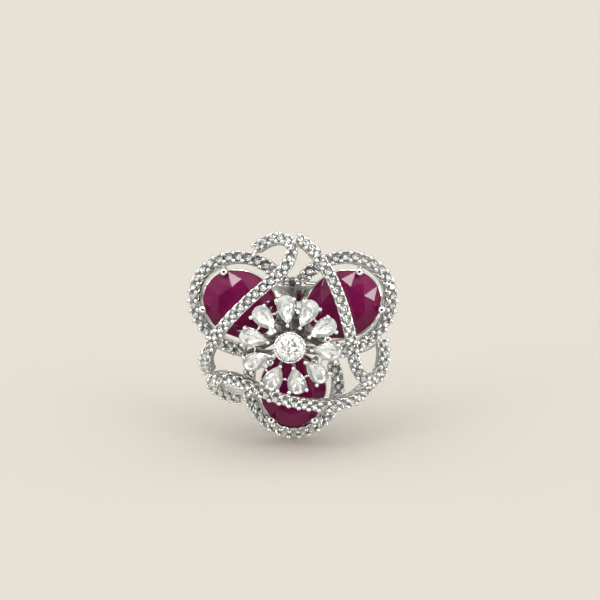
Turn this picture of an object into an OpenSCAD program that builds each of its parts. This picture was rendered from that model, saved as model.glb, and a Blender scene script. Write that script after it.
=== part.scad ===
// Cocktail ring. Three oval stones lie in a trefoil, wrapped by ribbons of small
// channel-set stones, under a raised flower of ten pear stones round one centre stone.
// Frame: millimetres, +Z runs up the finger, the head faces -Y, and the origin is the
// middle of the finger hole. Head parts are drawn flat, with h = 0 on the outside of
// the band, and on_head() stands them on it.

/* [Band] */
// Inside diameter of the finger hole
finger_d = 19; // [17:0.5:21]
// Thickness of the band
band_t = 1.5; // [1.3:0.1:1.8]
// Width of the band at the back of the finger
band_back_w = 3.2; // [2.8:0.1:3.6]
// Width of the band under the head
band_front_w = 4.8; // [4.2:0.1:5.2]

/* [Oval stones] */
// Length of an oval stone, towards the middle of the head
oval_l = 10; // [9.6:0.1:10.2]
// Width of an oval stone
oval_w = 8.6; // [8:0.1:8.8]
// Distance from the middle of the head to the middle of an oval stone
oval_r = 7.6; // [7.5:0.1:7.8]
// Height of the oval stones' girdle above the band
oval_h = 2.7; // [2.4:0.1:2.9]

/* [Ribbons] */
// Width of a ribbon
ribbon_w = 1.7; // [1.6:0.05:1.8]
// Depth of a ribbon below its stones' girdles
ribbon_d = 1.3; // [1.1:0.1:1.4]
// Diameter of a ribbon's stones
pave_d = 1.15; // [1.05:0.05:1.2]
// Distance from one ribbon stone to the next
pave_pitch = 1.25; // [1.25:0.05:1.5]

/* [Flower] */
// Length of a pear stone
pear_l = 3.6; // [3.3:0.1:3.6]
// Width of a pear stone
pear_w = 2.35; // [2:0.05:2.4]
// Distance from the flower's middle to a pear stone's tip
pear_r = 2.85; // [2.8:0.05:2.9]
// Height of the pear stones' girdles above the band
flower_h = 8.9; // [8.6:0.1:9.2]
// Diameter of the centre stone
centre_d = 3.6; // [3.3:0.05:3.7]

/* [Hidden] */
$fn = 48;
SIDES = ["right", "left", "lower"];
PEARS = ["01", "02", "03", "04", "05", "06", "07", "08", "09", "10"];

band_in = finger_d / 2;
band_out = band_in + band_t;
third = 120;                        // the head repeats every third of a turn
first_oval = 30;                    // direction of the first oval stone, from +X

// Small gaps and thicknesses
slip = 0.03;                        // clearance round a set stone
wall = 0.18;                        // thin metal edges

// Heights of the oval stones and of their baskets
oval_crown = 1.35;
oval_girdle = 0.2;
oval_pavilion = 2.9;
rail_top = oval_h - oval_girdle - 0.3;
rail_tall = 0.8;
base_tall = 0.7;
prong_r = 0.32;
prong_ball = 0.42;
knee_swell = 1.12;                  // ball at a prong's knee, over the bar's own radius

// Cut of the ribbon stones
pave_r = pave_d / 2;
pave_crown = 0.18;
pave_depth = 0.5;
groove_w = pave_d + 2 * slip;
groove_d = pave_depth + 0.05;

// Cut of the pear stones, and the slope of the petals away from the middle
pear_crown = 0.5;
pear_girdle = 0.12;
pear_pavilion = 1.1;
pear_slope = 8;
// Directions of the petals, from +X: set by hand, so not quite evenly spaced
petal_turn = [95, 62, 28, -9, -46, -81, -116, -155, -192, -228];
pear_belly = 0.786;                 // largest value of the pear outline's formula
pear_prong_r = 0.17;
pear_prong_foot = -0.95;            // from the girdle of its stone
bead_r = 0.23;
bead_h = 0.22;

// Centre stone: girdle above the pear stones', crown, pavilion
centre_rise = 0.36;
centre_crown = 0.63;
centre_pavilion = 0.75;

// Frame under the petals
frame_drop = 1.15;                  // depth below the petals' girdles
frame_ring = 1.5;                   // radius of its ring
frame_reach = 4.1;                  // how far its spokes reach
frame_bar = 0.2;                    // radius of its bars
leg_foot_r = 0.38;
leg_top_r = 0.3;
bridge_r = 0.14;
bridge_drop = 0.75;                 // depth below the petals' girdles
bridge_reach = 4.75;                // distance from the flower's middle

// Halo ribbon round one oval stone that lies along +X: x, y, height
halo_half = [
    [14.1, 0, 1.4], [13.6, 2.2, 1.4], [12.1, 4.25, 1.4], [10.1, 5.45, 1.55],
    [8, 5.9, 1.9], [5.9, 5.8, 2.3], [4.1, 5.2, 2.6]
];
halo_route = concat(
    [for (i = [len(halo_half) - 1 : -1 : 1]) [halo_half[i].x, -halo_half[i].y, halo_half[i].z]],
    halo_half
);

// Swirl ribbon over the same oval stone: distance from the middle, direction, height
swirl_polar = [
    [12.45, 57, 2.1], [12.15, 51.5, 3.3], [11.6, 45, 4.9], [10.8, 38.5, 5.9], [9.8, 29, 6.6],
    [8.7, 17, 7.05], [8, 5, 7.25], [7.6, -7, 7.35], [7.5, -20, 7.3], [7.65, -32, 7],
    [8.1, -43, 6.6], [8.9, -52.5, 6.1], [10, -58.5, 5.6], [11.2, -60.5, 5], [12.1, -59.5, 4.2],
    [12.6, -55.5, 3.3], [12.6, -50, 2.5], [12.35, -44, 1.9], [12, -39, 1.4], [11.8, -35.5, 1.05]
];
swirl_route = [for (p = swirl_polar) [p[0] * cos(p[1]), p[0] * sin(p[1]), p[2]]];
lean_start = 6;                     // inside this distance a ribbon faces straight out
lean_rate = 4;                      // degrees that it leans outwards for each further mm
route_steps = 4;                    // rings of a ribbon between two points of its route
route_end = 0.75;                   // bare metal at each end of a ribbon

// The two bars of a shoulder: x, distance from the finger's axis, z, radius of the bar
shoulder_upper = [
    [9.6, 1.5, 0.8, 0.8], [10.8, 4.4, 1.5, 0.75], [11.3, 7.2, 2.7, 0.68], [10.7, 9.7, 4, 0.58],
    [9.5, 11.4, 4.5, 0.5]
];
shoulder_lower = [
    [9.6, 1.5, -0.8, 0.8], [10.7, 4.4, -1.4, 0.75], [10.9, 7.2, -2.1, 0.68],
    [9.6, 9.6, -2.8, 0.58], [6.5, 11.4, -3.35, 0.5]
];

// Under-gallery: its hub, the arms to the oval rails and the arms to the joints of the halos
gallery_sink = 1;                   // how far it starts below the band's outside, then trimmed
gallery_tall = base_tall + gallery_sink;
hub_r = 1.7;
oval_arm = [5, 0.9];                // length and width
base_rail = [6.6, 5.8, 0.8];        // length, width and thickness of a rail under an oval stone
halo_arm = [7, 1];
halo_pad = [1, 1.8, base_tall + 0.45];
halo_pad_r = 6;

// Oval prongs
prong_turn = 40;                    // direction on the oval, from its long axis
prong_foot_in = 0.68;               // the foot, as a share of the girdle
prong_out = 0.06;                   // gap between a prong and the girdle

// ---------------------------------------------------------------- routes and sweeps

function unit(v) = v / norm(v);
function blend(a, b, c, d, t) = 0.5 * (2 * b + (c - a) * t + (2 * a - 5 * b + 4 * c - d) * t * t
                                       + (3 * b - a - 3 * c + d) * t * t * t);
// A smooth curve through the points
function curve(p) = let (n = len(p)) concat(
    [for (i = [0 : n - 2], s = [0 : route_steps - 1])
        blend(p[max(i - 1, 0)], p[i], p[i + 1], p[min(i + 2, n - 1)], s / route_steps)],
    [p[n - 1]]
);
function heading(p, i) = unit(p[min(i + 1, len(p) - 1)] - p[max(i - 1, 0)]);
// The way that a ribbon faces at a point: outwards from the head, leaning away from its middle
function facing(q) = let (lean = lean_rate * max(0, norm([q.x, q.y]) - lean_start), way = atan2(q.y, q.x))
    [sin(lean) * cos(way), sin(lean) * sin(way), cos(lean)];
function upright(face, along) = unit(face - (face * along) * along);
function travelled(p) = [for (i = 0, s = 0; i < len(p); i = i + 1,
                              s = s + (i < len(p) ? norm(p[i] - p[i - 1]) : 0)) s];
function along(p, s, d) = [for (k = [0 : 2]) lookup(d, [for (i = [0 : len(p) - 1]) [s[i], p[i][k]]])];

// Quads between rings of m points, and the end faces given
function tube_faces(rings, m, ends) = concat(
    [for (i = [0 : rings - 2], k = [0 : m - 1]) let (j = (k + 1) % m)
        [i * m + j, (i + 1) * m + j, (i + 1) * m + k, i * m + k]],
    [for (f = ends) [for (i = [len(f) - 1 : -1 : 0]) f[i]]],
    [for (f = ends) [for (i = f) i + (rings - 1) * m]]
);

module ribbon(route) {
    p = curve(route);
    a = ribbon_w / 2;
    b = groove_w / 2;
    section = [[-a, 0], [-a, -ribbon_d], [a, -ribbon_d], [a, 0], [b, 0], [b, -groove_d],
               [-b, -groove_d], [-b, 0]];
    points = [for (i = [0 : len(p) - 1], q = section)
        let (t = heading(p, i), n = upright(facing(p[i]), t), s = cross(t, n)) p[i] + s * q.x + n * q.y];
    polyhedron(points, tube_faces(len(p), len(section), [[0, 1, 6, 7], [1, 2, 5, 6], [2, 3, 4, 5]]));
}

module ribbon_stones(route) {
    p = curve(route);
    s = travelled(p);
    room = s[len(s) - 1] - 2 * route_end;
    count = floor(room / pave_pitch);
    for (k = [0 : count]) {
        d = route_end + k * room / count;
        at = along(p, s, d);
        t = unit(along(p, s, d + 0.2) - along(p, s, d - 0.2));
        n = upright(facing(at), t);
        placed(at, cross(t, n), t, n) pave_stone();
    }
}

module placed(at, x, y, z)
    multmatrix([[x.x, y.x, z.x, at.x], [x.y, y.y, z.y, at.y], [x.z, y.z, z.z, at.z], [0, 0, 0, 1]])
        children();

module rod(from, to, r1, r2) {
    way = unit(to - from);
    side = unit(cross(abs(way.z) < 0.9 ? [0, 0, 1] : [1, 0, 0], way));
    placed(from, side, cross(way, side), way) cylinder(h = norm(to - from), r1 = r1, r2 = r2);
}

module bar(route) {
    sides = 10;
    p = curve([for (q = route) [q.x, q.y, q.z]]);
    r = curve([for (q = route) [q[3], 0, 0]]);
    points = [for (i = [0 : len(p) - 1], k = [0 : sides - 1])
        let (t = heading(p, i), s = unit(cross(t, [0, 0, 1])), n = cross(s, t), turn = 360 * k / sides)
        p[i] + r[i][0] * (cos(turn) * s + sin(turn) * n)];
    polyhedron(points, tube_faces(len(p), sides, [[for (k = [0 : sides - 1]) k]]));
}

module on_head() translate([0, -band_out, 0]) rotate([90, 0, 0]) children();
module on_side(i) on_head() rotate(first_oval + third * i) children();

// ---------------------------------------------------------------- band

module shank() color("silver") {
    edge = 0.35;                    // chamfer on the band's outer edges
    half = band_front_w / 2;
    intersection() {
        rotate_extrude($fn = 96) polygon([
            [band_in, -half], [band_out - edge, -half], [band_out, edge - half],
            [band_out, half - edge], [band_out - edge, half], [band_in, half]]);
        band_side_view();
    }
}

// Two bars rise from one side of the band to the under-gallery; side is 1 or -1
module shoulder(side) color("silver") difference() {
    for (route = [shoulder_upper, shoulder_lower])
        bar([for (q = route) [side * q[0], -q[1], q[2], q[3]]]);
    cylinder(h = 4 * band_front_w, r = band_out, center = true);
    under_gallery();
}

// The band seen from +X: wide at the front, narrow at the back
module band_side_view() {
    reach = band_out + 1;
    function half_w(y) = let (u = (y + reach) / (2 * reach))
        (band_front_w + (band_back_w - band_front_w) * (3 - 2 * u) * u * u) / 2;
    ys = [for (i = [0 : 12]) -reach + i * reach / 6];
    rotate([90, 0, 90]) linear_extrude(height = 4 * band_out, center = true)
        polygon(concat([for (y = ys) [y, half_w(y)]], [for (i = [12 : -1 : 0]) [ys[i], -half_w(ys[i])]]));
}

// ---------------------------------------------------------------- setting of the oval stones

function oval(l, w, n = 48) = [for (i = [0 : n - 1]) [l / 2 * cos(360 * i / n), w / 2 * sin(360 * i / n)]];

module oval_ring(l, w, thick, tall) linear_extrude(height = tall) difference() {
    polygon(oval(l, w));
    polygon(oval(l - 2 * thick, w - 2 * thick));
}

// A hub on the band, arms out to an oval rail under each stone and to the joints of the halos
module under_gallery() color("silver") difference() {
    on_head() translate([0, 0, -gallery_sink]) {
        cylinder(h = gallery_tall, r = hub_r);
        for (i = [0 : 2]) rotate(first_oval + third * i) {
            translate([0, -oval_arm.y / 2, 0]) cube([oval_arm.x, oval_arm.y, gallery_tall]);
            translate([oval_r, 0, gallery_sink])
                oval_ring(base_rail.x, base_rail.y, base_rail.z, base_tall);
            rotate(third / 2) {
                translate([0, -halo_arm.y / 2, 0]) cube([halo_arm.x, halo_arm.y, gallery_tall]);
                translate([halo_pad_r, -halo_pad.y / 2, gallery_sink]) cube(halo_pad);
            }
        }
    }
    cylinder(h = 3 * band_out, r = band_out, center = true);
}

module oval_basket(i) color("silver") on_side(i) translate([oval_r, 0, 0]) {
    translate([0, 0, rail_top - rail_tall]) oval_ring(oval_l + 0.3, oval_w + 0.3, 0.5, rail_tall);
    for (x = [1, -1], y = [1, -1]) oval_prong(x, y);
}

// A prong rises from the base rail, stands outside the girdle and ends in a ball on the crown
module oval_prong(x, y) {
    out = [x * cos(prong_turn), y * sin(prong_turn), 0];
    girdle = [x * oval_l / 2 * cos(prong_turn), y * oval_w / 2 * sin(prong_turn), 0];
    foot = [girdle.x * prong_foot_in, girdle.y * prong_foot_in, base_tall + 0.08];
    knee = girdle + (prong_r + prong_out) * out + [0, 0, rail_top - 0.2];
    rod(foot, knee, prong_r * 1.2, prong_r);
    rod(knee, knee + [0, 0, oval_h + 0.45 - knee.z], prong_r, prong_r);
    translate(knee) sphere(prong_r * knee_swell);
    translate(girdle + 0.1 * out + [0, 0, oval_h + 0.58]) sphere(prong_ball);
}

module oval_stone(i) color("crimson") on_side(i) translate([oval_r, 0, oval_h]) hull() {
    translate([0, 0, -oval_girdle]) linear_extrude(height = oval_girdle) polygon(oval(oval_l, oval_w, 32));
    translate([0, 0, oval_crown - 0.01]) linear_extrude(height = 0.01)
        polygon(oval(oval_l * 0.62, oval_w * 0.62, 8));
    translate([0, 0, oval_crown * 0.55]) linear_extrude(height = 0.01)
        rotate(22.5) polygon(oval(oval_l * 0.83, oval_w * 0.83, 8));
    translate([0, 0, -oval_girdle - oval_pavilion * 0.62]) linear_extrude(height = 0.01)
        polygon(oval(oval_l * 0.48, oval_w * 0.45, 16));
    translate([0, 0, -oval_girdle - oval_pavilion]) linear_extrude(height = 0.01)
        polygon(oval(oval_l * 0.12, oval_w * 0.02, 8));
}

// ---------------------------------------------------------------- ribbons

module pave_stone() rotate_extrude($fn = 24) polygon([
    [0, -pave_depth], [pave_r, -0.04], [pave_r, 0], [pave_r * 0.57, pave_crown], [0, pave_crown]]);

module halo(i) color("silver") on_side(i) ribbon(halo_route);
module halo_stones(i) color("white") on_side(i) ribbon_stones(halo_route);
module swirl(i) color("silver") on_side(i) ribbon(swirl_route);
module swirl_stones(i) color("white") on_side(i) ribbon_stones(swirl_route);

// ---------------------------------------------------------------- flower

// Outline of a pear with its tip at the origin and its round end on +X
function pear(l, w, n = 12) = [for (i = [0 : 2 * n - 1]) let (t = 180 * i / n, u = t > 180 ? 360 - t : t)
    [l * (1 - cos(u)) / 2, sign(180 - t) * w / 2 * sin(u) * pow(sin(u / 2), 0.9) / pear_belly]];
module pear_plate(grow, tall) translate([-grow, 0, 0]) linear_extrude(height = tall)
    polygon(pear(pear_l + 2 * grow, pear_w + 2 * grow));
module pear_shrunk(size, tall) translate([pear_l * 0.6 * (1 - size), 0, 0]) linear_extrude(height = tall)
    polygon(pear(pear_l * size, pear_w * size));

module petal(i) on_head() rotate(petal_turn[i]) translate([pear_r, 0, flower_h])
    rotate([0, pear_slope, 0]) children();

module pear_setting(i) color("silver") petal(i) {
    seat = -pear_girdle - 0.15;
    difference() {
        translate([0, 0, seat - 0.55]) pear_plate(0.13, 0.55);
        translate([0, 0, seat - 1]) pear_shrunk(0.87, 2);
    }
    pear_prong([-0.2, 0, 0]);
    for (y = [1, -1]) pear_prong([pear_l * 0.85, y * pear_w * 0.485, 0]);
}

module pear_prong(at) translate(at) {
    translate([0, 0, pear_prong_foot]) cylinder(h = bead_h - 0.07 - pear_prong_foot, r = pear_prong_r);
    translate([0, 0, bead_h]) sphere(bead_r);
}

module pear_stone(i) color("white") petal(i) hull() {
    translate([0, 0, -pear_girdle]) pear_shrunk(1, pear_girdle);
    translate([0, 0, pear_crown - 0.01]) pear_shrunk(0.56, 0.01);
    translate([pear_l * 0.6, 0, -pear_girdle - pear_pavilion]) cylinder(h = 0.02, r = 0.04, $fn = 6);
}

// A ring under the centre stone, with a spoke out to each petal
module flower_frame() color("silver") on_head() translate([0, 0, flower_h - frame_drop]) {
    rotate_extrude() translate([frame_ring, 0]) circle(frame_bar);
    for (turn = petal_turn) rotate(turn)
        rod([frame_ring, 0, 0], [frame_reach, 0, 0], frame_bar * 0.95, frame_bar * 0.95);
}

// A thin wire between each petal and the next
module petal_bridges() color("silver") on_head() {
    last = len(petal_turn) - 1;
    for (i = [0 : last]) {
        next = i < last ? petal_turn[i + 1] : petal_turn[0] - 360;
        spread = (petal_turn[i] - next) / 2;
        half = bridge_reach * sin(spread) - pear_w / 2 - 0.08;
        rotate(petal_turn[i] - spread)
            translate([bridge_reach * cos(spread), 0, flower_h - bridge_drop])
                rod([0, -half, 0], [0, half, 0], bridge_r, bridge_r);
    }
}

module centre_bezel() color("silver") on_head() translate([0, 0, flower_h]) rotate_extrude() polygon([
    [1.1, -0.95], [1.35, -1], [centre_d / 2 + wall, -0.45], [centre_d / 2 + wall, 0.52],
    [centre_d / 2 + 0.02, 0.58], [centre_d / 2 + 0.02, 0.25], [1.25, -0.6], [1.1, -0.6]]);

module centre_stone() color("white") on_head() translate([0, 0, flower_h + centre_rise]) hull() {
    linear_extrude(height = 0.1) circle(centre_d / 2, $fn = 32);
    translate([0, 0, centre_crown - 0.01]) linear_extrude(height = 0.01) circle(centre_d * 0.28, $fn = 16);
    translate([0, 0, centre_crown * 0.63]) linear_extrude(height = 0.01)
        rotate(360 / 32) circle(centre_d * 0.4, $fn = 16);
    translate([0, 0, -centre_pavilion]) cylinder(h = 0.01, r = centre_d / 4, $fn = 16);
}

// A leg rises from the joint of two halos to the flower's frame
module flower_leg(i) color("silver") on_side(i) rotate(third / 2) {
    foot = [5.3, 0, base_tall + 0.15];
    top = [frame_ring + 0.3, 0, flower_h - frame_drop - frame_bar - 0.1];
    rod(foot, top, leg_foot_r, leg_top_r);
}

// ---------------------------------------------------------------- the assembly

shank();
shoulder(1);  // shoulder_right
shoulder(-1);  // shoulder_left
under_gallery();
for (i = [0 : 2]) {
    oval_basket(i);
    oval_stone(i);
    halo(i);
    halo_stones(i);
    swirl(i);
    swirl_stones(i);
    flower_leg(i);
}
flower_frame();
petal_bridges();
centre_bezel();
centre_stone();
for (i = [0 : len(petal_turn) - 1]) {
    pear_setting(i);
    pear_stone(i);
}
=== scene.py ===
"""Looks for the cocktail ring: smooth metalwork, faceted stones, soft studio light.

Lengths in this script are millimetres in the ring's own frame, and MM turns them into metres.
Head parts are built flat, as (x, y, height above the band), and to_ring() stands them on it.
"""
import math
import random

import bpy
import numpy as np
from mathutils import Matrix, Vector
from mathutils.geometry import delaunay_2d_cdt


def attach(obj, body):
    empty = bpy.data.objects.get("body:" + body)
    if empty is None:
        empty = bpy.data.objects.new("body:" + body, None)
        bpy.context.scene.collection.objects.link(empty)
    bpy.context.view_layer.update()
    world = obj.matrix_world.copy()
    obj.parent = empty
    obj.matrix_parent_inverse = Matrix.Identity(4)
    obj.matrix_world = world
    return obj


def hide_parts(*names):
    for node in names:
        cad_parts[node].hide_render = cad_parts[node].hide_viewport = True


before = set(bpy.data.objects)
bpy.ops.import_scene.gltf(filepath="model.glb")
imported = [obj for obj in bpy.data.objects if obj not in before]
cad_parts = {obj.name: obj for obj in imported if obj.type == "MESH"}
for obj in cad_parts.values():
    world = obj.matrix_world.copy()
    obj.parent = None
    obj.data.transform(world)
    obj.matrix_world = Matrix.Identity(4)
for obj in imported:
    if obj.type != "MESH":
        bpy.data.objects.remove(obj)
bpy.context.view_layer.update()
rng = random.Random(7)
MM = 0.001

# ---------------------------------------------------------------- sizes and places, mostly as in the CAD

BAND_IN, BAND_OUT = 9.5, 11.0
BAND_FRONT_W, BAND_BACK_W = 4.8, 3.2
FIRST_OVAL, THIRD = 30.0, 120.0
SIDES = ("right", "left", "lower")

OVAL_L, OVAL_W, OVAL_R, OVAL_H = 10.0, 8.6, 7.6, 2.7
OVAL_CROWN, OVAL_BACK = 1.35, 2.9
CLAW_TURN, CLAW_BALL_R = 40.0, 0.55
HALO_W, SWIRL_W, RIBBON_D = 1.7, 1.58, 1.3
PAVE_D, PAVE_PITCH, ROUTE_END = 1.15, 1.25, 0.75
PAVE_CROWN, PAVE_BACK = 0.2, 0.27
BEAD_R = 0.3
PEAR_L, PEAR_W, PEAR_R, PEAR_SLOPE = 3.6, 2.35, 2.85, 8.0
PEAR_CROWN, PEAR_BACK, PEAR_BELLY = 0.5, 0.475, 0.786
FLOWER_H, CENTRE_D = 8.9, 3.6
CENTRE_RISE, CENTRE_CROWN, CENTRE_BACK = 0.36, 0.72, 0.75
PETAL_TURN = (95, 62, 28, -9, -46, -81, -116, -155, -192, -228)
LEAN_START, LEAN_RATE = 6.0, 4.0
BASE_TALL, RAIL_TOP = 0.7, 2.2
FRAME_DROP, FRAME_RING, FRAME_REACH, FRAME_BAR = 1.15, 1.5, 4.1, 0.2
BRIDGE_REACH, BRIDGE_R = 4.75, 0.13
FLOOR_Z = -14.95

HALO_HALF = [
    (14.1, 0, 1.4), (13.6, 2.2, 1.4), (12.1, 4.25, 1.4), (10.1, 5.45, 1.55),
    (8, 5.9, 1.9), (5.9, 5.8, 2.3), (4.1, 5.2, 2.6),
]
HALO_ROUTE = [(x, -y, h) for x, y, h in HALO_HALF[:0:-1]] + HALO_HALF
SWIRL_POLAR = [
    (12.45, 57, 2.1), (12.15, 51.5, 3.3), (11.6, 45, 4.9), (10.8, 38.5, 5.9), (9.8, 29, 6.6),
    (8.7, 17, 7.05), (8, 5, 7.25), (7.6, -7, 7.35), (7.5, -20, 7.3), (7.65, -32, 7),
    (8.1, -43, 6.6), (8.9, -52.5, 6.1), (10, -58.5, 5.6), (11.2, -60.5, 5), (12.1, -59.5, 4.2),
    (12.6, -55.5, 3.3), (12.6, -50, 2.5), (12.35, -44, 1.9), (12, -39, 1.4), (11.8, -35.5, 1.05),
]
SWIRL_ROUTE = [(r * math.cos(math.radians(a)), r * math.sin(math.radians(a)), h)
               for r, a, h in SWIRL_POLAR]
SHOULDER_UPPER = [
    (9.6, 1.5, 0.8, 0.8), (10.8, 4.4, 1.5, 0.75), (11.3, 7.2, 2.7, 0.68), (10.7, 9.7, 4, 0.58),
    (9.5, 11.4, 4.5, 0.5),
]
SHOULDER_LOWER = [
    (9.6, 1.5, -0.8, 0.8), (10.7, 4.4, -1.4, 0.75), (10.9, 7.2, -2.1, 0.68), (9.6, 9.6, -2.8, 0.58),
    (6.5, 11.4, -3.35, 0.5),
]


# ---------------------------------------------------------------- camera

def make_camera():
    """The photograph's view: a little above the head and slightly to its right."""
    elevation, azimuth, distance = math.radians(15.0), math.radians(2.9), 145.0
    focal_px, frame_px, sensor = 1132.5, 600.0, 36.0
    aim_px = (291.8, 334.2)
    roll = 0.009
    target = Vector((0, -14.0, 0))
    level = math.cos(elevation)
    back = Vector((math.sin(azimuth) * level, -math.cos(azimuth) * level, math.sin(elevation)))
    look = -back
    want = ((aim_px[0] - frame_px / 2) / focal_px, (frame_px / 2 - aim_px[1]) / focal_px)
    axis = look.copy()
    for _ in range(20):
        right = axis.cross(Vector((0, 0, 1))).normalized()
        up = right.cross(axis)
        seen = (look.dot(right) / look.dot(axis), look.dot(up) / look.dot(axis))
        axis = (axis + (seen[0] - want[0]) * right + (seen[1] - want[1]) * up).normalized()
    right = axis.cross(Vector((0, 0, 1))).normalized()
    up = right.cross(axis)
    c, s = math.cos(roll), math.sin(roll)
    right, up = c * right - s * up, s * right + c * up
    place = (target + back * distance) * MM
    camera = bpy.data.objects.new("camera", bpy.data.cameras.new("camera"))
    camera.matrix_world = Matrix((
        (right.x, up.x, -axis.x, place.x), (right.y, up.y, -axis.y, place.y),
        (right.z, up.z, -axis.z, place.z), (0, 0, 0, 1)))
    camera.data.sensor_width = sensor
    camera.data.lens = focal_px / frame_px * sensor
    camera.data.clip_start = 0.005
    camera.data.clip_end = 50
    bpy.context.scene.collection.objects.link(camera)
    bpy.context.scene.camera = camera


make_camera()


# ---------------------------------------------------------------- materials

def node_material(name, **inputs):
    """A Principled material with constant inputs set on the shader itself."""
    material = bpy.data.materials.new(name)
    material.use_nodes = True
    shader = material.node_tree.nodes["Principled BSDF"]
    for key, value in inputs.items():
        shader.inputs[key.replace("_", " ")].default_value = value
    return material, material.node_tree, shader


def noise(tree, scale, detail=3.0, rough=0.5):
    """A noise texture in the object's own coordinates."""
    coordinates = tree.nodes.new("ShaderNodeTexCoord")
    texture = tree.nodes.new("ShaderNodeTexNoise")
    texture.inputs["Scale"].default_value = scale
    texture.inputs["Detail"].default_value = detail
    texture.inputs["Roughness"].default_value = rough
    tree.links.new(coordinates.outputs["Object"], texture.inputs["Vector"])
    return texture


def ramp(tree, source, stops):
    """A colour ramp on a value, with stops of (position, colour)."""
    node = tree.nodes.new("ShaderNodeValToRGB")
    elements = node.color_ramp.elements
    while len(elements) < len(stops):
        elements.new(0.5)
    for element, (position, colour) in zip(elements, stops):
        element.position = position
        element.color = (*colour, 1)
    tree.links.new(source, node.inputs["Fac"])
    return node


def tint_by(tree, shader, texture, stops):
    """Colours a shader by a noise texture."""
    tint = ramp(tree, texture.outputs["Fac"], stops)
    tree.links.new(tint.outputs["Color"], shader.inputs["Base Color"])


def bump(tree, shader, height, strength, distance):
    """Uneven surface on a shader, from a height value."""
    node = tree.nodes.new("ShaderNodeBump")
    node.inputs["Strength"].default_value = strength
    node.inputs["Distance"].default_value = distance
    tree.links.new(height, node.inputs["Height"])
    tree.links.new(node.outputs["Normal"], shader.inputs["Normal"])


def make_metal(name, shades, hazes, ripple):
    """White metal with faint buffing haze and tiny ripples."""
    material, tree, shader = node_material(name, Metallic=1.0)
    tint_by(tree, shader, noise(tree, 420, 4), [(0.3, shades[0]), (0.7, shades[1])])
    haze = ramp(tree, noise(tree, 900, 5, 0.65).outputs["Fac"],
                [(0.35, (hazes[0],) * 3), (0.75, (hazes[1],) * 3)])
    tree.links.new(haze.outputs["Color"], shader.inputs["Roughness"])
    bump(tree, shader, noise(tree, 700, 2).outputs["Fac"], ripple, 0.04 * MM)
    return material


def make_clear_crown(name, clear):
    """The top of a white stone: clear, with a share of pale cloudiness."""
    material, tree, shader = node_material(name, Roughness=0.0, IOR=1.6, Transmission_Weight=clear)
    tint_by(tree, shader, noise(tree, 900, 3), [(0.3, (0.95, 0.97, 0.97)), (0.7, (1, 1, 1))])
    return material


def make_bright_facets(name, metallic, rough):
    """The facets of a white stone that throw the light back."""
    material, tree, shader = node_material(name, Metallic=metallic, Roughness=rough)
    tint_by(tree, shader, noise(tree, 1400, 3), [(0.3, (0.90, 0.95, 0.955)), (0.7, (1, 1, 1))])
    return material


def make_red_stone():
    """Nearly opaque magenta-red stone with cloudy inclusions and a glassy surface."""
    material, tree, shader = node_material("red_stone_cloudy", Roughness=0.03, IOR=1.28)
    tint_by(tree, shader, noise(tree, 330, 6, 0.6),
           [(0.25, (0.083, 0.003, 0.028)), (0.55, (0.126, 0.005, 0.047)), (0.85, (0.175, 0.012, 0.077))])
    return material


METAL = make_metal("polished_white_metal", ((0.80, 0.80, 0.785), (0.93, 0.925, 0.91)), (0.06, 0.16),
                   ripple=0.1)
# A darker, rougher copy of the white metal for the gallery, the petals' frame and the legs. Its dark tone is
# painted shade for where these parts sit under and between the head's parts; the rougher haze and ripples are the
# metal's own.
SHADED_ROUGH_METAL = make_metal("rough_white_metal_painted_shade", ((0.22, 0.215, 0.205), (0.34, 0.335, 0.32)), (0.24, 0.42),
                        ripple=0.35)
BRIGHT_BACK = make_bright_facets("white_stone_back", 0.94, 0.02)
CENTRE_STONE = make_bright_facets("centre_stone_facets", 0.8, 0.05)
WHITE_STONE = (make_clear_crown("white_stone_crown", 0.98), BRIGHT_BACK)
PEAR_STONE = (make_clear_crown("pear_stone_crown", 0.79), BRIGHT_BACK)
RED_STONE = make_red_stone()


# ---------------------------------------------------------------- mesh helpers

def add_piece(name, points, faces, material, replaces=(), smooth=True, bevel=None, kinds=None):
    """A mesh object from points in ring millimetres. kinds picks each face's material."""
    mesh = bpy.data.meshes.new(name)
    mesh.from_pydata([tuple(float(c) * MM for c in p) for p in points], [], [tuple(f) for f in faces])
    for each in material if isinstance(material, tuple) else (material,):
        mesh.materials.append(each)
    if kinds:
        mesh.polygons.foreach_set("material_index", kinds)
    mesh.polygons.foreach_set("use_smooth", [smooth] * len(mesh.polygons))
    mesh.validate()
    piece = bpy.data.objects.new(name, mesh)
    bpy.context.scene.collection.objects.link(piece)
    if bevel:
        modifier = piece.modifiers.new("soft_edges", "BEVEL")
        modifier.width, modifier.segments = bevel * MM, 2
        modifier.limit_method = "ANGLE"
        modifier.angle_limit = math.radians(40)
    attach(piece, "root")
    if replaces:
        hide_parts(*replaces)


class Mesh:
    """Points and faces gathered from many parts, in ring millimetres."""

    def __init__(self):
        self.points, self.faces, self.kinds = [], [], []

    def add(self, points, faces, place=None, kinds=None):
        start = len(self.points)
        self.kinds += kinds or [0] * len(faces)
        self.points += [tuple(place(p)) if place else tuple(p) for p in points]
        self.faces += [[start + i for i in f] for f in faces]


def around(count):
    """Evenly spaced angles, once round."""
    return [2 * math.pi * k / count for k in range(count)]


def turn(p, degrees):
    """A point turned about the third axis."""
    c, s = math.cos(math.radians(degrees)), math.sin(math.radians(degrees))
    return (p[0] * c - p[1] * s, p[0] * s + p[1] * c, p[2])


def to_ring(p, degrees=0.0):
    """From head coordinates, turned about the head's middle, to the ring's frame."""
    x, y, h = turn(p, degrees)
    return (x, -(BAND_OUT + h), y)


def unit(v):
    return v / np.linalg.norm(v)


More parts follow.
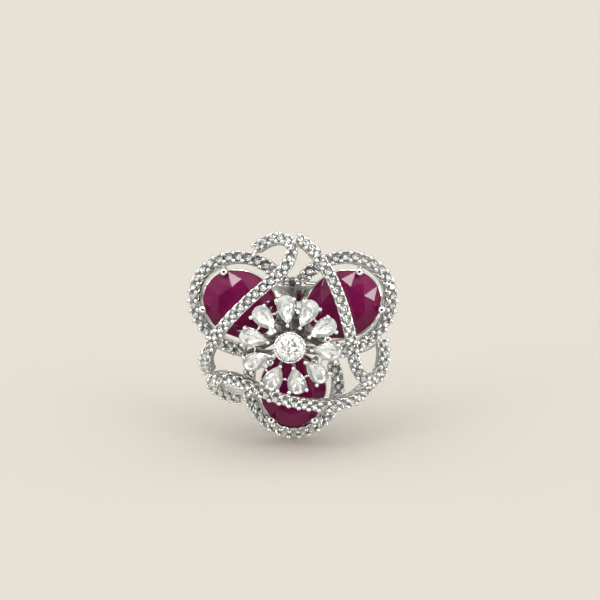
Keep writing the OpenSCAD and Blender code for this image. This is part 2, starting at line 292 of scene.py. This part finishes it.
def curve(points, steps):
    """The same smooth curve through the points as in the CAD, with more steps."""
    p = np.array(points, float)
    n = len(p)
    out = []
    for i in range(n - 1):
        a, b, c, d = p[max(i - 1, 0)], p[i], p[i + 1], p[min(i + 2, n - 1)]
        for s in range(steps):
            t = s / steps
            out.append(0.5 * (2 * b + (c - a) * t + (2 * a - 5 * b + 4 * c - d) * t * t
                              + (3 * b - a - 3 * c + d) * t ** 3))
    out.append(p[-1])
    return np.array(out)


def travelled(p):
    """The distance along a line of points, at each of them."""
    return np.concatenate([[0], np.cumsum(np.linalg.norm(np.diff(p, axis=0), axis=1))])


def at_distance(p, s, d):
    """The place at distance d along the line of points p, whose distances are s."""
    return np.array([np.interp(d, s, p[:, k]) for k in range(p.shape[1])])


def ribbon_axes(q, heading):
    """Across, along and outwards at a point of a ribbon."""
    lean = math.radians(LEAN_RATE * max(0.0, math.hypot(q[0], q[1]) - LEAN_START))
    way = math.atan2(q[1], q[0])
    face = np.array([math.sin(lean) * math.cos(way), math.sin(lean) * math.sin(way), math.cos(lean)])
    out = unit(face - face.dot(heading) * heading)
    return np.cross(heading, out), heading, out


def tube(mesh, route, radius, sides=12, closed=False, place=None, up=(0, 0, 1), squash=1.0):
    """A round bar along a route. radius is a number or one for each point."""
    p = np.array(route, float)
    n = len(p)
    radii = np.full(n, radius) if np.isscalar(radius) else np.array(radius, float)
    points = []
    for i in range(n):
        before, after = (p[i - 1], p[(i + 1) % n]) if closed else (p[max(i - 1, 0)], p[min(i + 1, n - 1)])
        heading = unit(after - before)
        side = np.cross(heading, np.array(up, float))
        if np.linalg.norm(side) < 1e-4:
            side = np.cross(heading, np.array((1.0, 0, 0)))
        side = unit(side)
        other = np.cross(side, heading)
        for a in around(sides):
            points.append(p[i] + radii[i] * (math.cos(a) * side + squash * math.sin(a) * other))
    faces = []
    rings = n if closed else n - 1
    for i in range(rings):
        j = (i + 1) % n
        for k in range(sides):
            m = (k + 1) % sides
            faces.append([i * sides + k, i * sides + m, j * sides + m, j * sides + k])
    if not closed:
        faces.append(list(range(sides - 1, -1, -1)))
        faces.append([(n - 1) * sides + k for k in range(sides)])
    mesh.add(points, faces, place)


def ball(mesh, centre, radius, rows=8, columns=14, place=None, tall=1.0):
    """A ball, or with tall other than 1 a flattened one."""
    points = [(centre[0], centre[1], centre[2] - radius * tall)]
    for i in range(1, rows):
        a = math.pi * i / rows
        for b in around(columns):
            points.append((centre[0] + radius * math.sin(a) * math.cos(b),
                           centre[1] + radius * math.sin(a) * math.sin(b),
                           centre[2] - radius * tall * math.cos(a)))
    points.append((centre[0], centre[1], centre[2] + radius * tall))
    last = len(points) - 1
    faces = [[0, 1 + (k + 1) % columns, 1 + k] for k in range(columns)]
    for i in range(rows - 2):
        for k in range(columns):
            m = (k + 1) % columns
            a, b = 1 + i * columns, 1 + (i + 1) * columns
            faces.append([a + k, a + m, b + m, b + k])
    top = 1 + (rows - 2) * columns
    faces += [[last, top + k, top + (k + 1) % columns] for k in range(columns)]
    mesh.add(points, faces, place)


def lathe(mesh, profile, sides=64, place=None):
    """Turns a closed profile of (radius, height) about the local vertical."""
    n = len(profile)
    points = [(r * math.cos(a), r * math.sin(a), h) for a in around(sides) for r, h in profile]
    faces = []
    for k in range(sides):
        m = (k + 1) % sides
        for i in range(n):
            j = (i + 1) % n
            faces.append([k * n + i, m * n + i, m * n + j, k * n + j])
    mesh.add(points, faces, place)


def rounded(profile, radius, steps=3):
    """A closed polygon with its corners rounded."""
    out = []
    n = len(profile)
    for i in range(n):
        a, b, c = (np.array(profile[(i + k) % n], float) for k in (-1, 0, 1))
        cut = min(radius, 0.45 * np.linalg.norm(a - b), 0.45 * np.linalg.norm(c - b))
        start, end = b + unit(a - b) * cut, b + unit(c - b) * cut
        for s in range(steps + 1):
            t = s / steps
            out.append(tuple((1 - t) ** 2 * start + 2 * t * (1 - t) * b + t * t * end))
    return out


# ---------------------------------------------------------------- stones

def brilliant(outline, centre, crown, pavilion, girdle, table, star=0.5, culet=0.02, lower=0.3, fold=8):
    """A brilliant cut on any outline: points, faces, and 0 for each crown face and 1 for each back face.

    outline(angle) gives the girdle's point on that side of the centre.
    """
    def at(angle, size, h):
        edge = outline(angle)
        return (centre[0] + (edge[0] - centre[0]) * size, centre[1] + (edge[1] - centre[1]) * size, h)

    step = 2 * math.pi / fold
    mid = table + (1 - table) * star
    points, faces = [], []
    points += [at(k * step, table, crown) for k in range(fold)]
    points += [at((k + 0.5) * step, mid, crown * (1 - star) * 1.12) for k in range(fold)]
    points += [at(k * step / 2, 1, girdle / 2) for k in range(2 * fold)]
    points += [at(k * step / 2, 1, -girdle / 2) for k in range(2 * fold)]
    points += [at((k + 0.5) * step, lower, -girdle / 2 - (pavilion - girdle / 2) * (1 - lower) * 1.02)
               for k in range(fold)]
    points += [at(k * step, culet, -pavilion) for k in range(fold)]
    t, s, g, u, m, c = 0, fold, 2 * fold, 4 * fold, 6 * fold, 7 * fold
    back = [[c + fold - 1 - k for k in range(fold)]]
    faces.append([t + k for k in range(fold)])
    for k in range(fold):
        n = (k + 1) % fold
        p = (k - 1) % fold
        a, b, d = 2 * k, 2 * k + 1, (2 * k + 2) % (2 * fold)
        faces.append([t + k, s + k, t + n])
        faces.append([t + k, s + p, g + a, s + k])
        faces.append([s + k, g + a, g + b])
        faces.append([s + k, g + b, g + d])
        back.append([g + a, u + a, u + b, g + b])
        back.append([g + b, u + b, u + d, g + d])
        back.append([m + k, u + b, u + a])
        back.append([m + k, u + d, u + b])
        back.append([m + k, u + a, m + p, c + k])
        back.append([m + k, c + k, c + n])
    return points, faces + back, [0] * len(faces) + [1] * len(back)


def circle(radius):
    return lambda a: (radius * math.cos(a), radius * math.sin(a))


def ellipse(length, width):
    return lambda a: (length / 2 * math.cos(a), width / 2 * math.sin(a))


def pear_outline(length, width):
    """The CAD's pear: tip at 0, round end at +x. PEAR_BELLY is its curve's widest, before scaling."""
    def at(angle):
        u = math.pi - (angle % (2 * math.pi))
        v = abs(u)
        return (length * (1 - math.cos(v)) / 2,
                math.copysign(1, u) * width / 2 * math.sin(v) * math.sin(v / 2) ** 0.9 / PEAR_BELLY)
    return at


def sparkle_stone(radius, crown, pavilion):
    """A round stone with a low dome of many small, uneven facets."""
    rim, gap, reach = 40, 0.235, 9
    stray, rough, dome = 0.05, 0.1, 0.84
    points = [(radius * math.cos(a), radius * math.sin(a), 0.0) for a in around(rim)]
    for row in range(-reach, reach + 1):
        for column in range(-reach, reach + 1):
            x = gap * (column + 0.5 * (row % 2)) + rng.uniform(-stray, stray)
            y = gap * 0.866 * row + rng.uniform(-stray, stray)
            size = math.hypot(x, y) / radius
            if size < 0.92:
                points.append((x, y, crown * (dome * (1 - size ** 3) + rng.uniform(-rough, rough))))
    faces = delaunay_2d_cdt([Vector(p[:2]) for p in points], [], [], 0, 1e-6)[2]
    faces = [list(f) for f in faces]
    low = len(points)
    points += [(x, y, -0.1) for x, y, _ in points[:rim]] + [(0, 0, -pavilion)]
    for k in range(rim):
        m = (k + 1) % rim
        faces.append([k, low + k, low + m, m])
        faces.append([low + k, low + rim, low + m])
    return points, faces


# ---------------------------------------------------------------- ribbons

def stone_places(route):
    """Where the CAD sets a ribbon's stones: distances along its curve."""
    p = curve(route, 4)
    s = travelled(p)
    room = s[-1] - 2 * ROUTE_END
    count = int(math.floor(room / PAVE_PITCH))
    return p, s, [ROUTE_END + k * room / count for k in range(count + 1)], room / count


def ribbon(name, route, width, degrees, node):
    """A channel with scalloped rails and rounded solid ends, and beads along both rails."""
    p, s, places, pitch = stone_places(route)
    total = s[-1]
    half, rail, depth = width / 2 - 0.05, 0.2, -RIBBON_D
    rail_top, scallop, groove = -0.06, 0.34, -0.56
    corner_r, solid_end, eased_end, ease = 0.3, 0.15, 0.12, 0.12

    def axes(d, q):
        heading = unit(at_distance(p, s, min(d + 0.15, total)) - at_distance(p, s, max(d - 0.15, 0)))
        across, _, out = ribbon_axes(q, heading)
        return across, out

    steps = int(round(total / pitch * 8))
    ends = [0.0, 0.015, 0.04, 0.08, 0.13, 0.19, 0.26]
    stations = ends + [total * i / steps for i in range(2, steps - 1)] + [total - d for d in reversed(ends)]
    points = []
    for d in stations:
        q = at_distance(p, s, d)
        across, out = axes(d, q)
        bare = d < places[0] - pitch / 2 or d > places[-1] + pitch / 2
        dip = 0.0 if bare else 0.5 + 0.5 * math.cos(2 * math.pi * (d - places[0]) / pitch)
        end = min(d, total - d)
        top = rail_top - scallop * dip - ease * max(0.0, 1 - end / eased_end) ** 2
        floor = top - 0.02 if end < solid_end else groove
        a = half - corner_r * (1 - math.sqrt(1 - max(0.0, 1 - end / corner_r) ** 2))
        section = [(-a, top - 0.05), (-a, depth + 0.14), (-a + 0.05, depth + 0.04), (-a + 0.15, depth),
                   (a - 0.15, depth), (a - 0.05, depth + 0.04), (a, depth + 0.14), (a, top - 0.05),
                   (a - 0.04, top), (a - rail + 0.03, top), (a - rail, top - 0.04), (a - rail, floor),
                   (-a + rail, floor), (-a + rail, top - 0.04), (-a + rail - 0.03, top), (-a + 0.04, top)]
        points += [q + across * x + out * y for x, y in section]
    m = 16
    last = len(stations) - 1
    faces = [[i * m + (k + 1) % m, i * m + k, (i + 1) * m + k, (i + 1) * m + (k + 1) % m]
             for i in range(last) for k in range(m)]
    cap = [[0, 1, 2, 3, 12, 13, 14, 15], [3, 4, 11, 12], [4, 5, 6, 7, 8, 9, 10, 11]]
    faces += cap + [[last * m + k for k in reversed(f)] for f in cap]
    add_piece(name, [to_ring(q, degrees) for q in points], [f[::-1] for f in faces], METAL, (node,))

    beads = Mesh()
    for k in range(len(places) + 1):
        d = places[0] + (k - 0.5) * pitch
        q = at_distance(p, s, min(max(d, 0.12), total - 0.12))
        across, out = axes(d, q)
        for side in (1, -1):
            centre = q + across * side * (half - BEAD_R + 0.04) + out * 0.03
            ball(beads, centre, BEAD_R, 9, 16, lambda v: to_ring(v, degrees))
    add_piece(name + "_beads", beads.points, beads.faces, METAL)


def ribbon_stones(name, route, degrees, node):
    """The ribbon's stones, each turned and tilted a little."""
    p, s, places, _ = stone_places(route)
    mesh = Mesh()
    points, faces, kinds = brilliant(circle(PAVE_D / 2), (0, 0), PAVE_CROWN, PAVE_BACK, 0.04, 0.54)
    tip_over = 0.08
    for d in places:
        q = at_distance(p, s, d)
        heading = unit(at_distance(p, s, d + 0.2) - at_distance(p, s, d - 0.2))
        across, along, out = ribbon_axes(q, heading)
        spin = rng.uniform(0, 45)
        tilt = (rng.uniform(-tip_over, tip_over), rng.uniform(-tip_over, tip_over))
        out = unit(out + tilt[0] * across + tilt[1] * along)
        across = unit(across - across.dot(out) * out)
        along = np.cross(out, across)

        def place(v):
            x, y, h = turn(v, spin)
            return to_ring(q + across * x + along * y + out * (h + 0.02), degrees)
        mesh.add(points, faces, place, kinds)
    add_piece(name, mesh.points, mesh.faces, WHITE_STONE, (node,), smooth=False,
              kinds=mesh.kinds)


for index, side in enumerate(SIDES):
    degrees = FIRST_OVAL + THIRD * index
    ribbon("halo_ribbon_" + side, HALO_ROUTE, HALO_W, degrees, "halo_" + side)
    ribbon_stones("halo_brilliants_" + side, HALO_ROUTE, degrees, "halo_stones_" + side)
    ribbon("swirl_ribbon_" + side, SWIRL_ROUTE, SWIRL_W, degrees, "swirl_" + side)
    ribbon_stones("swirl_brilliants_" + side, SWIRL_ROUTE, degrees, "swirl_stones_" + side)


# ---------------------------------------------------------------- oval stones and their baskets

def oval_stone(side, degrees):
    """One faceted oval stone, with softened edges."""
    points, faces, _ = brilliant(ellipse(OVAL_L, OVAL_W), (0, 0), OVAL_CROWN, OVAL_BACK, 0.18, 0.6, lower=0.35)
    add_piece("oval_gem_" + side, [to_ring((x + OVAL_R, y, h + OVAL_H - 0.1), degrees) for x, y, h in points],
              faces, RED_STONE, ("oval_stone_" + side,), smooth=False, bevel=0.05)


def oval_basket(side, degrees):
    """Two rails and four claws round one oval stone."""
    def place(q):
        return to_ring((q[0] + OVAL_R, q[1], q[2]), degrees)

    mesh = Mesh()
    for grow, h, bar in ((-0.12, RAIL_TOP - 0.22, 0.19), (-0.75, RAIL_TOP - 1.25, 0.17)):
        rail = [((OVAL_L / 2 + grow) * math.cos(a), (OVAL_W / 2 + grow) * math.sin(a), h) for a in around(72)]
        tube(mesh, rail, bar, 12, True, place)
    a = math.radians(CLAW_TURN)
    for x in (1, -1):
        for y in (1, -1):
            out = np.array([x * math.cos(a), y * math.sin(a), 0])
            edge = np.array([x * OVAL_L / 2 * math.cos(a), y * OVAL_W / 2 * math.sin(a), 0])
            foot = np.array([edge[0] * 0.68, edge[1] * 0.68, BASE_TALL + 0.1])
            knee = edge + 0.36 * out + np.array([0, 0, RAIL_TOP - 0.2])
            tip = edge + 0.1 * out + np.array([0, 0, OVAL_H + 0.55])
            route = curve([foot, (foot + knee) / 2, knee, knee + (0, 0, 0.55), tip], 6)
            radii = np.interp(np.linspace(0, 1, len(route)), [0, 0.6, 1], [0.36, 0.31, 0.36])
            tube(mesh, route, radii, 14, place=place)
            ball(mesh, tip, CLAW_BALL_R, 14, 24, place, tall=0.86)
    add_piece("oval_claws_" + side, mesh.points, mesh.faces, METAL, ("oval_basket_" + side,))


for index, side in enumerate(SIDES):
    oval_stone(side, FIRST_OVAL + THIRD * index)
    oval_basket(side, FIRST_OVAL + THIRD * index)


# ---------------------------------------------------------------- flower

def petal_place(angle):
    """From a petal's own coordinates, tip at 0, to the ring's frame."""
    slope = math.radians(PEAR_SLOPE)

    def place(q):
        x, y, h = q
        return to_ring((PEAR_R + x * math.cos(slope) + h * math.sin(slope), y,
                        FLOWER_H - x * math.sin(slope) + h * math.cos(slope)), angle)
    return place


def pear_piece(number, angle):
    """One pear stone, and its setting of two rails and three claws."""
    place = petal_place(angle)
    label = f"{number:02d}"
    outline = pear_outline(PEAR_L, PEAR_W)
    centre = (PEAR_L * 0.58, 0)
    points, faces, kinds = brilliant(outline, centre, PEAR_CROWN, PEAR_BACK, 0.1, 0.56, star=0.48, lower=0.34)
    add_piece("pear_gem_" + label, [place((x, y, h - 0.05)) for x, y, h in points], faces, PEAR_STONE,
              ("pear_stone_" + label,), smooth=False, kinds=kinds)

    mesh = Mesh()
    for h, shrink in ((-0.34, 0.93), (-0.78, 0.8)):
        rail = [((outline(a)[0] - centre[0]) * shrink + centre[0], outline(a)[1] * shrink, h) for a in around(48)]
        tube(mesh, rail, 0.11, 8, True, place, squash=1.3)
    for x, y in ((-0.2, 0), (PEAR_L * 0.85, PEAR_W * 0.485), (PEAR_L * 0.85, -PEAR_W * 0.485)):
        lean = unit(np.array([centre[0] - x, -y, 0]))
        foot = np.array([x, y, -0.95]) + 0.12 * lean
        tip = np.array([x, y, 0.22]) + 0.06 * lean
        route = curve([foot, np.array([x, y, -0.4]), np.array([x, y, 0.05]), tip], 4)
        tube(mesh, route, 0.165, 10, place=place)
        ball(mesh, np.array([x, y, 0.24]) + 0.05 * lean, 0.265, 10, 16, place)
    add_piece("pear_cup_" + label, mesh.points, mesh.faces, METAL, ("pear_setting_" + label,))


for number, angle in enumerate(PETAL_TURN, 1):
    pear_piece(number, angle)


def petal_frame():
    """The ring and ten spokes under the petals."""
    mesh = Mesh()
    low = FLOWER_H - FRAME_DROP
    ring = [(FRAME_RING * math.cos(a), FRAME_RING * math.sin(a), low) for a in around(72)]
    tube(mesh, ring, FRAME_BAR, 12, True, to_ring)
    spoke = [(FRAME_RING, 0, low), ((FRAME_RING + FRAME_REACH) / 2, 0, low - 0.05), (FRAME_REACH, 0, low)]
    for angle in PETAL_TURN:
        tube(mesh, spoke, (FRAME_BAR, FRAME_BAR * 0.95, FRAME_BAR * 0.75), 10,
             place=lambda q: to_ring(q, angle))
    add_piece("petal_frame", mesh.points, mesh.faces, SHADED_ROUGH_METAL, ("flower_frame",))


def bridge_wires():
    """A small arch between each petal and the next."""
    mesh = Mesh()
    for i, angle in enumerate(PETAL_TURN):
        following = PETAL_TURN[i + 1] if i + 1 < len(PETAL_TURN) else PETAL_TURN[0] - 360
        spread = (angle - following) / 2
        half = BRIDGE_REACH * math.sin(math.radians(spread)) - PEAR_W / 2 + 0.05
        reach = BRIDGE_REACH * math.cos(math.radians(spread))
        arch = [(reach - 0.12 * (1 - t * t), half * t, FLOWER_H - 0.62 - 0.1 * t * t)
                for t in np.linspace(-1, 1, 9)]
        tube(mesh, arch, BRIDGE_R, 8, place=lambda q: to_ring(q, angle - spread))
    add_piece("bridge_wires", mesh.points, mesh.faces, METAL, ("petal_bridges",))


def centre():
    """The centre stone, in a thin rim with a row of tiny beads."""
    mesh = Mesh()
    rim, beads = CENTRE_D / 2 + 0.18, 30
    profile = rounded([(1.1, -0.95), (1.35, -1), (rim, -0.45), (rim, 0.52), (rim - 0.16, 0.6),
                       (rim - 0.17, 0.25), (1.25, -0.6), (1.1, -0.6)], 0.09)
    lathe(mesh, profile, 96, lambda q: to_ring((q[0], q[1], q[2] + FLOWER_H)))
    for a in around(beads):
        ball(mesh, ((rim - 0.1) * math.cos(a), (rim - 0.1) * math.sin(a), FLOWER_H + 0.53), 0.13, 7, 10, to_ring)
    add_piece("centre_rim", mesh.points, mesh.faces, METAL, ("centre_bezel",))
    points, faces = sparkle_stone(CENTRE_D / 2, CENTRE_CROWN, CENTRE_BACK)
    add_piece("centre_gem", [to_ring((x, y, h + FLOWER_H + CENTRE_RISE)) for x, y, h in points], faces,
              CENTRE_STONE, ("centre_stone",), smooth=False)


def legs():
    """Three bars from the gallery up to the petals' frame."""
    top = FLOWER_H - FRAME_DROP - FRAME_BAR - 0.05
    route = curve([(5.3, 0, BASE_TALL + 0.1), (4.5, 0, 3.0), (3.4, 0, 5.4), (FRAME_RING + 0.3, 0, top)], 6)
    for index, side in enumerate(SIDES):
        mesh = Mesh()
        angle = FIRST_OVAL + THIRD * index + THIRD / 2
        tube(mesh, route, np.linspace(0.38, 0.28, len(route)), 14, place=lambda q: to_ring(q, angle),
             up=(0, 1, 0))
        add_piece("leg_" + side, mesh.points, mesh.faces, SHADED_ROUGH_METAL, ("flower_leg_" + side,))


petal_frame()
bridge_wires()
centre()
legs()


# ---------------------------------------------------------------- band

def band():
    """A tapered band with a gently domed outside and eased inner edges."""
    rows = 160
    points, faces = [], []
    reach = BAND_OUT + 1
    for a in around(rows):
        y = math.sin(a) * BAND_OUT
        u = (y + reach) / (2 * reach)
        half = (BAND_FRONT_W + (BAND_BACK_W - BAND_FRONT_W) * (3 - 2 * u) * u * u) / 2 - 0.01
        section = []
        for k in range(9):
            t = -1 + 2 * k / 8
            section.append((BAND_OUT - 0.03 - 0.3 * abs(t) ** 3.2, half * 0.97 * t))
        section += [(BAND_IN + 0.55, half), (BAND_IN + 0.16, half), (BAND_IN + 0.04, half - 0.08),
                    (BAND_IN, half - 0.3), (BAND_IN, 0.3 - half), (BAND_IN + 0.04, 0.08 - half),
                    (BAND_IN + 0.16, -half), (BAND_IN + 0.55, -half)]
        points += [(r * math.cos(a), r * math.sin(a), z) for r, z in section]
    m = 17
    for i in range(rows):
        j = (i + 1) % rows
        faces += [[i * m + k, j * m + k, j * m + (k + 1) % m, i * m + (k + 1) % m] for k in range(m)]
    add_piece("band", points, faces, METAL, ("shank",))


def shoulders():
    """Two bars on each side, from the band out to the gallery."""
    for side, sign in (("right", 1), ("left", -1)):
        mesh = Mesh()
        for route in (SHOULDER_UPPER, SHOULDER_LOWER):
            p = curve([(sign * x, -y, z) for x, y, z, _ in route], 10)
            r = curve([(q[3], 0, 0) for q in route], 10)[:, 0]
            tube(mesh, p, r, 20)
        add_piece("shoulder_bars_" + side, mesh.points, mesh.faces, METAL, ("shoulder_" + side,))


def gallery():
    """Hub, arms and rails between the band and the baskets, as rounded bars."""
    mesh = Mesh()
    hub_r, sunk, top = 1.66, -0.85, BASE_TALL - 0.02
    lathe(mesh, rounded([(0.3, sunk), (hub_r, sunk), (hub_r, top), (0.3, top)], 0.18), 64, to_ring)
    middle = BASE_TALL / 2 - 0.02
    bar = [(0.8, 0, middle), (2.4, 0, middle), (4.9, 0, middle)]
    ring = [(OVAL_R + 2.9 * math.cos(a), 2.5 * math.sin(a), middle) for a in around(72)]
    arm = [(0.8, 0, middle), (3.5, 0, middle), (6.3, 0, middle + 0.08)]
    for index in range(3):
        own = FIRST_OVAL + THIRD * index

        def to_oval(q):
            return to_ring(q, own)

        def to_joint(q):
            return to_ring(q, own + THIRD / 2)
        tube(mesh, bar, 0.44, 16, place=to_oval, squash=0.74)
        tube(mesh, ring, 0.38, 14, True, to_oval, squash=0.88)
        tube(mesh, arm, 0.48, 16, place=to_joint, squash=0.7)
        ball(mesh, (6.4, 0, middle + 0.22), 0.58, 10, 18, to_joint)
    add_piece("gallery", mesh.points, mesh.faces, SHADED_ROUGH_METAL, ("under_gallery",))


band()
shoulders()
gallery()


# ---------------------------------------------------------------- studio

def make_floor():
    """A plain pale floor. The lamps pass it by, so that the tent lights it evenly."""
    mesh = bpy.data.meshes.new("floor")
    size, height = 6.0, FLOOR_Z * MM
    corners = [(-size, -size, height), (size, -size, height), (size, size, height), (-size, size, height)]
    mesh.from_pydata(corners, [], [(0, 1, 2, 3)])
    floor = bpy.data.objects.new("floor", mesh)
    material, tree, shader = node_material("pale_floor", Roughness=1.0, Specular_IOR_Level=0.0)
    tint_by(tree, shader, noise(tree, 14, 3), [(0.3, (0.87, 0.83, 0.765)), (0.7, (0.88, 0.84, 0.775))])
    mesh.materials.append(material)
    bpy.context.scene.collection.objects.link(floor)
    floor.visible_glossy = False
    group = bpy.data.collections.new("lit_by_the_tent_only")
    group.objects.link(floor)
    group.collection_objects[0].light_linking.link_state = "EXCLUDE"
    return group


def make_tent():
    """A light tent, bright round its front opening, which is dark, and dimmer at the back."""
    world = bpy.data.worlds.new("studio")
    world.use_nodes = True
    tree = world.node_tree
    coordinates = tree.nodes.new("ShaderNodeTexCoord")

    def spread(source):
        """Takes -1..1 to 0..1."""
        node = tree.nodes.new("ShaderNodeMapRange")
        node.inputs["From Min"].default_value = -1
        tree.links.new(source, node.inputs["Value"])
        return node.outputs["Result"]

    split = tree.nodes.new("ShaderNodeSeparateXYZ")
    tree.links.new(coordinates.outputs["Generated"], split.inputs["Vector"])
    sky = ramp(tree, spread(split.outputs["Z"]),
               [(0.0, (0.62, 0.60, 0.56)), (0.44, (0.78, 0.75, 0.69)), (0.49, (0.80, 0.75, 0.675)),
                (0.56, (0.80, 0.75, 0.675)), (0.75, (1.0, 0.97, 0.93)), (1.0, (0.95, 0.95, 0.93))])
    toward = tree.nodes.new("ShaderNodeVectorMath")
    toward.operation = "DOT_PRODUCT"
    toward.inputs[1].default_value = (0.03, -0.97, 0.24)
    tree.links.new(coordinates.outputs["Generated"], toward.inputs[0])
    opening = ramp(tree, spread(toward.outputs["Value"]),
                   [(place, (strength,) * 3) for place, strength in
                    ((0.0, 0.3), (0.25, 0.5), (0.5, 1), (0.7, 1.2), (0.85, 2.2), (0.895, 0.5), (0.935, 0.06),
                     (1.0, 0.02))])
    both = tree.nodes.new("ShaderNodeMix")
    both.data_type, both.blend_type = "RGBA", "MULTIPLY"
    both.inputs["Factor"].default_value = 1
    tree.links.new(sky.outputs["Color"], both.inputs["A"])
    tree.links.new(opening.outputs["Color"], both.inputs["B"])
    seen = tree.nodes.new("ShaderNodeMix")
    seen.data_type = "RGBA"
    seen.inputs["B"].default_value = (0.805, 0.755, 0.675, 1)
    tree.links.new(tree.nodes.new("ShaderNodeLightPath").outputs["Is Camera Ray"], seen.inputs["Factor"])
    tree.links.new(both.outputs["Result"], seen.inputs["A"])
    tree.links.new(seen.outputs["Result"], tree.nodes["Background"].inputs["Color"])
    bpy.context.scene.world = world
    bpy.context.scene.view_settings.view_transform = "Standard"


def softbox(name, place, aim, size, radiance, unlit, tint=(1, 1, 1)):
    """A rectangular lamp aimed at a point. It doesn't light what the unlit collection leaves out."""
    data = bpy.data.lights.new(name, "AREA")
    data.shape, data.size, data.size_y, data.color = "RECTANGLE", size[0], size[1], tint
    data.energy = radiance * math.pi * size[0] * size[1]
    light = bpy.data.objects.new(name, data)
    light.location = place
    light.rotation_euler = (Vector(aim) - Vector(place)).to_track_quat("-Z", "Y").to_euler()
    light.light_linking.receiver_collection = unlit
    bpy.context.scene.collection.objects.link(light)
    return light


def studio():
    """Floor, tent, a soft front light and three boxes that sparkle in the stones."""
    unlit = make_floor()
    make_tent()
    head = (0, -0.01, 0)
    fill = softbox("front_fill", (0.02, -0.55, 0.2), head, (0.5, 0.4), 1.8, unlit)
    fill.visible_glossy = False
    fill.visible_transmission = False
    softbox("upper_box", (0.0, -0.30, 0.42), (0, 0, 0), (0.19, 0.08), 27, unlit, (1, 0.985, 0.96))
    softbox("left_box", (-0.42, -0.26, 0.12), head, (0.06, 0.14), 16, unlit)
    softbox("right_box", (0.42, -0.26, 0.02), head, (0.07, 0.13), 26, unlit)


studio()
